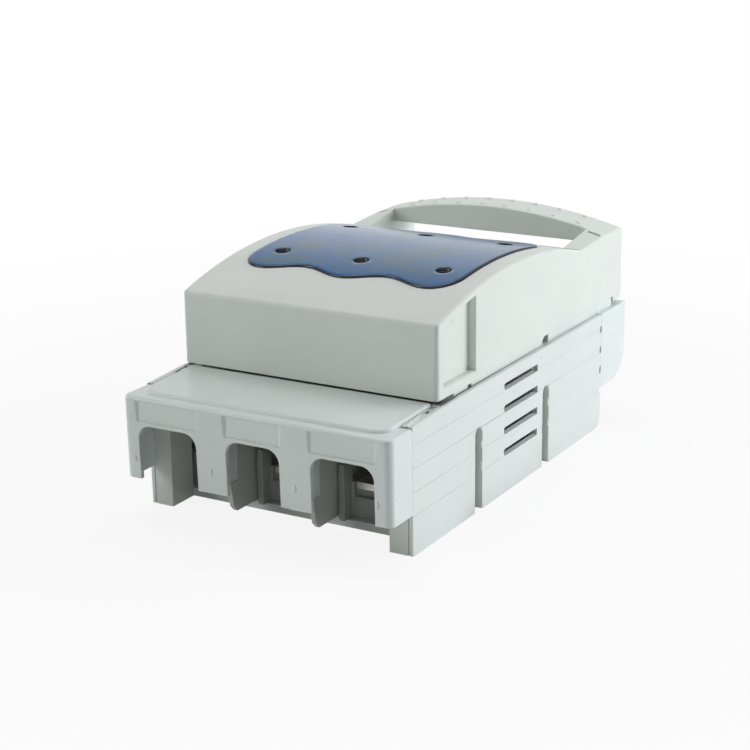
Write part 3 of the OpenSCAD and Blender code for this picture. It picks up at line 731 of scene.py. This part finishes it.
def add_cover_marks(bm):
    """Oval gate marks on the four legs and ragged flash along the feet of the two middle ones."""
    for x in LEG_MARKS:
        y = COVER_LOW.y + LEG_LEAN * (LEG_TOP - LEG_MARK_Z)
        half_w, half_h = LEG_MARK_HALF
        add_dome(bm, Vector((x, y, LEG_MARK_Z)), Vector((half_w, 0, 0)), Vector((0, 0, half_h)),
                 LEG_MARK_RISE)
    y = COVER_LOW.y + LEG_LEAN * (LEG_TOP - COVER_LOW.z) + FOOT_FLASH_IN
    for x in LEG_FEET:
        start, end = (x - LEG_FOOT / 2, y, COVER_LOW.z), (x + LEG_FOOT / 2, y, COVER_LOW.z)
        add_bead(bm, "flash", start, end, FOOT_FLASH_R)


def cover_radius(edge, middle):
    if pad_side(*middle) and abs(edge.verts[0].co.z - edge.verts[1].co.z) > MM:
        return PAD_FRONT_R if near(middle.y, COVER_LOW.y) else PAD_FLOOR_R
    if near(middle.z, PAD_TOP, PAD_BOTTOM) and middle.y < COVER_LOW.y + PAD_DEPTH + MARGIN:
        return PAD_END_R
    if is_top_edge(edge) and middle.z > COVER_TOP + PANEL_STEP:
        return PANEL_R
    if is_top_edge(edge) and near(middle.z, COVER_TOP):
        return COVER_R
    return None


rounded("near_cover_finish", ["near_terminal_cover"], cover_radius, segments=4, change=shape_cover,
        trim=add_cover_marks)

# Side walls: the shallow bands keep crisp edges, the rim falls towards the cover and has a small hole in it
WALL_LOW, WALL_HIGH = corners("right_side_wall")
WALL_HALF = WALL_HIGH.x
SIDE_TOP = 45.8
BAND_DEPTH = 0.12
SLOT_NEAR, SLOT_FAR = -14, 13.7
SLOT_TOPS = (16.6, 24.8, 33, 41.2)
SLOT_H = 2.7
INNER_X = 51
LOUVER_RISE, LOUVER_DROP = 0.8, 0.5    # the louvers' inner edges lie lower than in the CAD model
CHANNELS = (-33.9, 20.9)
CHANNEL_HALF = 2.7
CHANNEL_TOP = 32
RIM_FALL = 1.1
RIM_R = 0.6
RIM_END = -60.5    # where the rim meets the room for the lid
NOTCH_X, NOTCH_Y = 50.8, -66.3
# The notch's near corner is moved to the hole's, and the rest of the notch is filled up to a ledge
HOLE_X, HOLE_Y = 51, -68.2
HOLE_INNER_X = 49.3
LEDGE_Y, LEDGE_Z = -64.5, 45.2
GROOVE_X = (51.1, 51.7)
PANEL_ROOM_X = 48.8
ROOM_END = -48.3
ROOM_X = (48.4, 51.7)
SWEEP_GAP = 0.25
SWEEP_TOP, SWEEP_FOOT = 45.75, 43
INNER_END = -40
OVERLAP = 0.1    # by which a fill reaches into what is next to it
FILL_FOOT = 42.4
LEDGE_OVERLAP = 0.7
GROOVE_FOOT = 43
GROOVE_FILL = 0.8
# Levels of painted shade in the channels, the slots and the chamber's inner faces
CHANNEL_PAINTED_SHADE, SLOT_PAINTED_SHADE, INNER_PAINTED_SHADE = 0.5, 0.1, 0.25
HOLE_SHADE_DROP, INNER_SHADE_DROP = 1, 3    # below the ledge, where the painted shade ends
HINGE = next(j["pos_m"] for j in frame["record"]["behaviour"]["joints"] if j["name"] == "lid_hinge")


def wall_radius(edge, middle):
    if near(abs(middle.x), WALL_HALF) and is_top_edge(edge) and middle.z > SIDE_TOP - RIM_FALL - MARGIN:
        return RIM_R
    if min(abs(v.co.x) / MM for v in edge.verts) < WALL_HALF - BAND_DEPTH - TOLERANCE:
        return None
    level = abs(edge.verts[0].co.z - edge.verts[1].co.z) < WELD
    return 0 if level or within(middle.y, SLOT_NEAR, SLOT_FAR) else None


def open_hole(node, bm):
    """Move the notch's near corner, so that a small hole is left in front of the ledge."""
    for vert in bm.verts:
        x, y, _ = vert.co / MM
        if near(y, NOTCH_Y) and abs(x) > PANEL_ROOM_X - MARGIN:
            vert.co.y = HOLE_Y * MM
            if near(abs(x), NOTCH_X):
                vert.co.x = math.copysign(HOLE_X, x) * MM


def sweep_fill(steps=6):
    """A fill for the lid's room, in Y and Z, with a hollow that clears the lid's swinging front edge."""
    hinge_y, hinge_z = (c / MM for c in HINGE[1:])
    reach = math.hypot(LID_LOW.y - hinge_y, LID_LOW.z - hinge_z) + SWEEP_GAP
    span = math.acos((hinge_z - SWEEP_TOP) / reach)
    arc = [(hinge_y + reach * math.sin(a), hinge_z - reach * math.cos(a))
           for a in (span * (i / steps - 1) for i in range(2 * steps + 1))]
    near_end, far_end = RIM_END - OVERLAP, ROOM_END + OVERLAP
    return [(near_end, SWEEP_FOOT), (near_end, SWEEP_TOP), *arc, (far_end, SWEEP_TOP), (far_end, SWEEP_FOOT)]


def oblong(y0, z0, y1, z1):
    """A rectangle in Y and Z."""
    return [(y0, z0), (y0, z1), (y1, z1), (y1, z0)]


def wall_fills(side):
    """What fills up parts of a side wall's openings: two places along X and an outline in Y and Z."""
    ledge = oblong(LEDGE_Y, FILL_FOOT, RIM_END, LEDGE_Z)
    strip = oblong(HOLE_Y - OVERLAP, FILL_FOOT, LEDGE_Y + OVERLAP, LEDGE_Z)
    groove = oblong(WALL_LOW.y, GROOVE_FOOT, WALL_LOW.y + GROOVE_FILL, SIDE_TOP)
    fills = [(PANEL_ROOM_X, NOTCH_X + LEDGE_OVERLAP, ledge), (PANEL_ROOM_X, HOLE_INNER_X, strip),
             (*ROOM_X, sweep_fill()), (*GROOVE_X, groove)]
    return [(side * x0, side * x1, outline) for x0, x1, outline in fills]


def wall_painted_shade(x, y, z):
    """How much painted shade a point of a side wall takes, from 0 on its outside to 1 in the small hole."""
    # Full painted shade in the small hole
    if within(y, HOLE_Y, LEDGE_Y) and within(x, HOLE_INNER_X, HOLE_X) and z < LEDGE_Z - HOLE_SHADE_DROP:
        return 1
    if x >= WALL_HALF - BAND_DEPTH - MARGIN:
        return 0
    # Painted shade inside the channels and slots, and on the inner faces towards the front
    if z < CHANNEL_TOP and any(abs(y - c) < CHANNEL_HALF + MARGIN for c in CHANNELS):
        return CHANNEL_PAINTED_SHADE
    if within(y, SLOT_NEAR, SLOT_FAR):
        return SLOT_PAINTED_SHADE
    return INNER_PAINTED_SHADE if y < INNER_END and z < LEDGE_Z - INNER_SHADE_DROP else 0


def shape_wall(bm):
    """Let the rim fall towards the cover, lower the louvers' inner edges and paint shade onto what lies
    deeper.
    """
    painted_shade = bm.verts.layers.float["painted_shade"]
    louver_edges = [top - SLOT_H + LOUVER_RISE for top in SLOT_TOPS]
    cut(bm, (0, RIM_END, 0), (0, 1, 0))
    for vert in bm.verts:
        x, y, z = vert.co / MM
        vert[painted_shade] = wall_painted_shade(abs(x), y, z)
        if near(z, SIDE_TOP) and y < RIM_END:
            vert.co.z -= RIM_FALL * (RIM_END - y) / (RIM_END - WALL_LOW.y) * MM
        if within(y, SLOT_NEAR, SLOT_FAR) and near(abs(x), INNER_X) and near(z, *louver_edges):
            vert.co.z -= LOUVER_DROP * MM


# Starts, ends and radii of the beads on the right wall
RIM_BEADS = [((50.7, -80.9, 44.8), (50.4, -76, 45.05), 0.4), ((50.4, -76, 45.05), (49.9, -71.5, 45.3), 0.3),
             ((49.9, -71.5, 45.3), (50.5, -68.4, 45.45), 0.25)]
# The seam beads are painted shade along the seams between the parts
SEAM_BEADS = [((49.2, -81.25, 44.55), (52.6, -81.25, 44.6), 0.3),
              ((52.8, -81.25, 44), (52.8, -81.25, 34), 0.2),
              ((52.83, -81.27, 34), (52.83, -81.27, 14.6), 0.17),
              ((52.8, 72.1, 45), (52.8, 72.1, 16.5), 0.2)]
CHANNEL_NUBS = [(-31.2, 23.7), (-31.2, 15.9), (-36.6, 21.5), (-36.6, 13.4), (23.6, 23.9), (23.6, 15.95)]
NUB_HALF, NUB_R = 1.5, 0.5


def add_wall_flash(side):
    """A trim that adds flash on the rim and the channels' edges, and painted shade in the seams, of one wall.
    """
    nub_x = WALL_HALF - NUB_R
    nubs = [((nub_x, y, z - NUB_HALF), (nub_x, y, z + NUB_HALF), NUB_R) for y, z in CHANNEL_NUBS]

    def add(bm):
        for layer, beads in (("flash", RIM_BEADS), ("painted_shade", SEAM_BEADS), ("flash", nubs)):
            for start, end, radius in beads:
                add_bead(bm, layer, (side * start[0], *start[1:]), (side * end[0], *end[1:]), radius)
    return add


for side, node in ((-1, "left_side_wall"), (1, "right_side_wall")):
    rounded(node + "_finish", [node], wall_radius, prepare=open_hole, fills=wall_fills(side),
            change=shape_wall, trim=add_wall_flash(side))

# Window: a bent sheet with a rolled rim and a dark sleeve in each test hole; the sleeves' navy is painted
# shade for the deep holes
POLES = (-33.2, 0, 33.2)
FUSE_Y = 1.65
CROWN_Y, CROWN_Z, CROWN_R = -0.3, 82.4, 204.998
SHEET_RISE = 0.7
SHEET_T = 1.4
WINDOW_HALF_L = 39.5
WINDOW_CORNER = (10, 12)
LOBE_DEPTH = 4.8
HOLE_ROW = 24.1
RIM = [(0, 1.4), (0, 0.45), (0.06, 0.22), (0.2, 0.07), (0.45, 0)]    # inset and drop
# Radius and drop, from the sheet's top down the sleeve's inside and up again to the sheet's back
SLEEVE = [(2.95, 0), (2.9, 0.04), (2.86, 0.14), (2.83, 0.4), (2.8, 1.15), (2.35, 1.2), (2.3, 1.3), (2.3, 6),
          (2.45, 6), (2.45, 1.4)]
HOLE_SIDES = 40
HALO_START, HALO_END = 0.1, 2.9    # from a hole's edge
HALO_LEVEL = 0.75
WAVE_STEPS, TURN_STEPS, SIDE_STEPS = 64, 24, 20
SHEET_GRID = 1.1
BORDER_ROOM, HOLE_ROOM = 0.7, 0.5    # grid steps that stay free inside the rim and round the holes
KEEP_INSIDE, PLAN_SNAP = 1, 1e-5    # the triangulation's output type and its tolerance in millimetres


def sheet_point(bm, x, y, drop):
    """A vertex at a plan position, drop below the sheet's top."""
    radius = CROWN_R + SHEET_RISE - drop
    z = CROWN_Z - CROWN_R + math.sqrt(radius ** 2 - (y - CROWN_Y) ** 2)
    return bm.verts.new(Vector((x, y, z)) * MM)


def window_outline():
    """The window's plan, anticlockwise: a lobe at each pole, elliptical corners, straight sides."""
    right = [(x, LOBE_DEPTH / 2 * (1 - math.cos(math.tau * x / POLES[2])) - WINDOW_HALF_L)
             for x in (POLES[2] * i / WAVE_STEPS for i in range(WAVE_STEPS + 1))]
    for i in range(1, TURN_STEPS + 1):
        angle = math.pi / 2 * i / TURN_STEPS
        right.append((POLES[2] + WINDOW_CORNER[0] * math.sin(angle),
                      WINDOW_CORNER[1] * (1 - math.cos(angle)) - WINDOW_HALF_L))
    side_x, side_y = right[-1]
    right += [(side_x, side_y * (1 - i / SIDE_STEPS)) for i in range(1, SIDE_STEPS + 1)]
    right += [(x, -y) for x, y in reversed(right[:-1])]
    left = [(-x, y) for x, y in reversed(right[1:-1])]
    return [Vector((x, FUSE_Y + y)) for x, y in right + left]


def inset_loop(points, inset):
    """A closed loop of points moved inward."""
    result = []
    for i, point in enumerate(points):
        along = (points[(i + 1) % len(points)] - points[i - 1]).normalized()
        result.append(point + Vector((-along.y, along.x)) * inset)
    return result


def ring(centre, radius):
    """Points on a circle."""
    angles = (math.tau * i / HOLE_SIDES for i in range(HOLE_SIDES))
    return [centre + Vector((math.cos(t), math.sin(t))) * radius for t in angles]


def smoothstep(value, low, high):
    share = min(1, max(0, (value - low) / (high - low)))
    return share * share * (3 - 2 * share)


def inside(point, loop):
    """Whether a point lies inside a closed loop of points."""
    hit = False
    for a, b in zip(loop, loop[1:] + loop[:1]):
        if (a.y > point.y) != (b.y > point.y) and point.x < (b.x - a.x) * (point.y - a.y) / (b.y - a.y) + a.x:
            hit = not hit
    return hit


def window_plan(outline, holes):
    """Points and triangles of the sheet's plan. Its edge comes first, and then each hole's."""
    inner = inset_loop(outline, RIM[-1][0])
    hole_radius = SLEEVE[0][0]
    plan = list(inner)
    edges = []
    for hole in holes:
        start = len(plan)
        plan += ring(hole, hole_radius)
        edges += [(i, i + 1) for i in range(start, len(plan) - 1)] + [(len(plan) - 1, start)]
    border = inset_loop(outline, RIM[-1][0] + SHEET_GRID * BORDER_ROOM)
    columns = int(2 * (POLES[2] + WINDOW_CORNER[0]) / SHEET_GRID)
    rows = int(2 * WINDOW_HALF_L / SHEET_GRID)
    for i in range(-columns // 2, columns // 2 + 1):
        for j in range(-rows // 2, rows // 2 + 1):
            point = Vector((i * SHEET_GRID, FUSE_Y + (j + 0.5 * (i % 2)) * SHEET_GRID))
            clear = all((point - h).length > hole_radius + HOLE_ROOM * SHEET_GRID for h in holes)
            if clear and inside(point, border):
                plan.append(point)
    rim_face = [list(range(len(inner)))]
    points, _, triangles, *_ = delaunay_2d_cdt(plan, edges, rim_face, KEEP_INSIDE, PLAN_SNAP)
    hole_of = {len(inner) + i: i // HOLE_SIDES for i in range(HOLE_SIDES * len(holes))}
    return points, [t for t in triangles if len({hole_of.get(i, -1 - i) for i in t}) > 1]


def make_window():
    outline = window_outline()
    holes = [Vector((x, FUSE_Y + y)) for x in POLES for y in (-HOLE_ROW, HOLE_ROW)]
    points, triangles = window_plan(outline, holes)
    used = {i for t in triangles for i in t}
    bm = bmesh.new()
    navy_edge_and_hole_shade = bm.verts.layers.float.new("navy_edge_and_hole_shade")
    halo = bm.verts.layers.float.new("halo")
    top = {i: sheet_point(bm, *points[i], 0) for i in used}
    rolled = [[sheet_point(bm, *p, drop) for p in inset_loop(outline, inset)] for inset, drop in RIM[:-1]]
    bridge_all(bm, rolled + [[top[i] for i in range(len(outline))]])
    below = dict(enumerate(rolled[0]))
    start = len(outline)
    for hole in holes:
        sleeve = [[sheet_point(bm, *p, drop) for p in ring(hole, radius)] for radius, drop in SLEEVE[1:]]
        bridge_all(bm, [[top[start + i] for i in range(HOLE_SIDES)]] + sleeve)
        # The sleeves are navy: painted shade for the deep holes
        marked(sleeve, navy_edge_and_hole_shade)
        below.update({start + i: vert for i, vert in enumerate(sleeve[-1])})
        start += HOLE_SIDES
    for i in used:
        if i not in below:
            below[i] = sheet_point(bm, *points[i], SHEET_T)
    for triangle in triangles:
        bm.faces.new([top[i] for i in triangle])
        bm.faces.new([below[i] for i in reversed(triangle)])
    marked(rolled, navy_edge_and_hole_shade)
    for vert in bm.verts:
        distance = min((vert.co.xy / MM - h).length for h in holes) - SLEEVE[0][0]
        vert[halo] = HALO_LEVEL * (1 - smoothstep(distance, HALO_START, HALO_END))
    bmesh.ops.recalc_face_normals(bm, faces=bm.faces)
    for face in bm.faces:
        face.smooth = True
    as_piece("window_sheet", as_mesh("window_sheet", bm), "lid_window")


make_window()

DONE = (*LID_NODES, "near_terminal_cover", "left_side_wall", "right_side_wall", "lid_window")
# Painted shade over the barriers, for the dim chamber they stand in
BARRIER_PAINTED_SHADE = 0.5


def paint_barrier_shade(bm):
    painted_shade = bm.verts.layers.float["painted_shade"]
    for vert in bm.verts:
        vert[painted_shade] = BARRIER_PAINTED_SHADE


for node in NODES:
    if node not in DONE:
        rounded(node + "_finish", [node], change=paint_barrier_shade if node.endswith("barrier") else None)

scene = bpy.context.scene
scene.view_settings.view_transform = "Standard"
